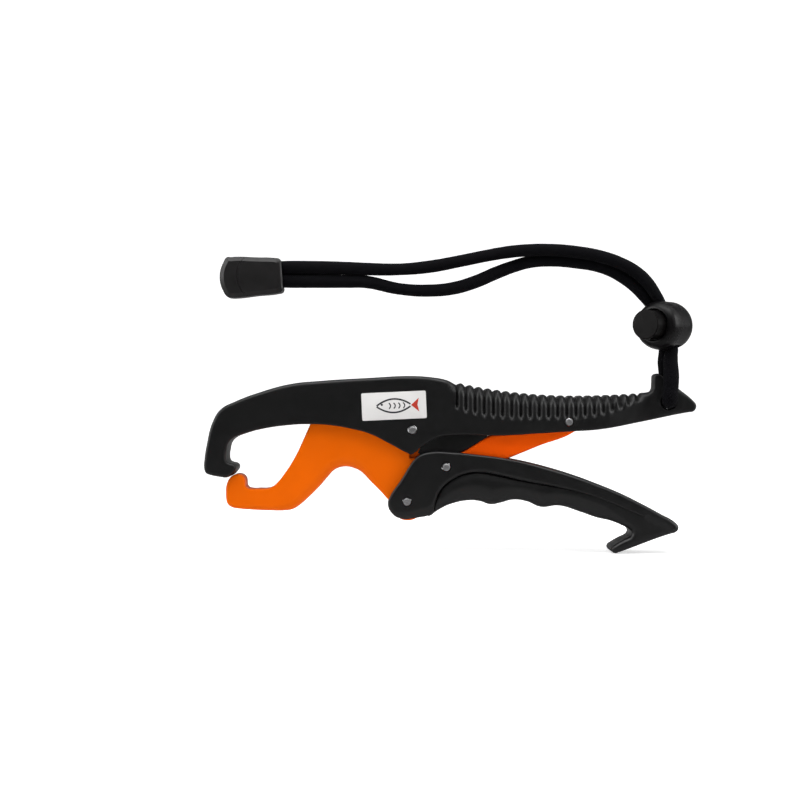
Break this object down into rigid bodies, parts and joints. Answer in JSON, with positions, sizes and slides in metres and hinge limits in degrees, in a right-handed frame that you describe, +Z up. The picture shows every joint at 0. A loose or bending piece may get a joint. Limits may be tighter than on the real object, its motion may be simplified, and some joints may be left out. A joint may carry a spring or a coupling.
{
  "type": "fish lip grip",
  "caption": "Squeeze-handle fish lip grip: a fixed upper jaw with a ribbed back, a pivoting lower jaw worked by a handle and toggle link, and a wrist lanyard with cord lock.",
  "frame": {"origin": "centre of the whole object's box at rest, jaws closed and lanyard laid out above the grip", "axes": "+X from the jaws to the tail (longest), +Y through the thickness away from the labelled face (shortest), +Z up, from the handle to the lanyard"},
  "size_m": [0.241, 0.0324, 0.1516],
  "materials": {
    "body_black": "satin moulded black ABS",
    "handle_black": "satin moulded black ABS",
    "jaw_orange": "semi-gloss moulded orange ABS",
    "link_orange": "semi-gloss moulded orange ABS",
    "pin_steel": "plain stainless pin, turned ends",
    "spring_steel": "bright spring wire",
    "label_white": "white vinyl sticker, no lettering",
    "cord_black": "braided elastic cord",
    "cap_black": "matt moulded black nylon",
    "lock_black": "satin moulded black nylon",
    "button_black": "satin moulded black nylon"
  },
  "bodies": {
    "body": {"grip_body": "body_black", "label": "label_white", "jaw_pin": "pin_steel", "link_rear_pin": "pin_steel", "return_spring": "spring_steel"},
    "jaw": {"lower_jaw": "jaw_orange"},
    "link": {"toggle_link": "link_orange"},
    "squeeze_handle": {"handle": "handle_black", "handle_pin": "pin_steel", "link_front_pin": "pin_steel"},
    "lanyard": {"wrist_cord": "cord_black", "end_cap": "cap_black", "end_cap_cover": "cap_black"},
    "cord_lock": {"cord_lock_body": "lock_black", "cord_lock_spring": "spring_steel"},
    "lock_button": {"cord_lock_button": "button_black"}
  },
  "joints": [
    {"name": "link_pivot", "type": "hinge", "parent": "body", "child": "link", "pos_m": [0.05735, 0.00424, -0.01174], "axis": [0, -1, 0], "range_deg": [-3.65, 0], "deforming": ["return_spring"]},
    {"name": "handle_squeeze", "type": "hinge", "parent": "link", "child": "squeeze_handle", "pos_m": [-0.00245, 0.00424, -0.03384], "axis": [0, -1, 0], "range_deg": [0, 16.5], "stiffness_Nm_per_rad": 0.05, "springref_deg": -20.05},
    {"name": "jaw_pivot", "type": "hinge", "parent": "body", "child": "jaw", "pos_m": [-0.01895, 0.00424, -0.01564], "axis": [0, -1, 0], "range_deg": [0, 4.7]},
    {"name": "lanyard_swing", "type": "hinge", "parent": "body", "child": "lanyard", "pos_m": [0.10675, 0.00424, -0.00204], "axis": [0, -1, 0], "range_deg": [-140, 10]},
    {"name": "cord_lock_slide", "type": "slide", "parent": "lanyard", "child": "cord_lock", "axis": [0.1293, 0, -0.9916], "range_m": [0, 0.006], "deforming": ["wrist_cord"]},
    {"name": "lock_button_press", "type": "slide", "parent": "cord_lock", "child": "lock_button", "axis": [0.65, 0.76, 0], "range_m": [0, 0.002], "stiffness_N_per_m": 300, "springref_m": -0.002, "deforming": ["cord_lock_spring"]}
  ],
  "couplings": [
    {"joint": "link_pivot", "follows": "handle_squeeze", "ratio": -0.219},
    {"joint": "jaw_pivot", "follows": "handle_squeeze", "ratio": 0.2842}
  ]
}
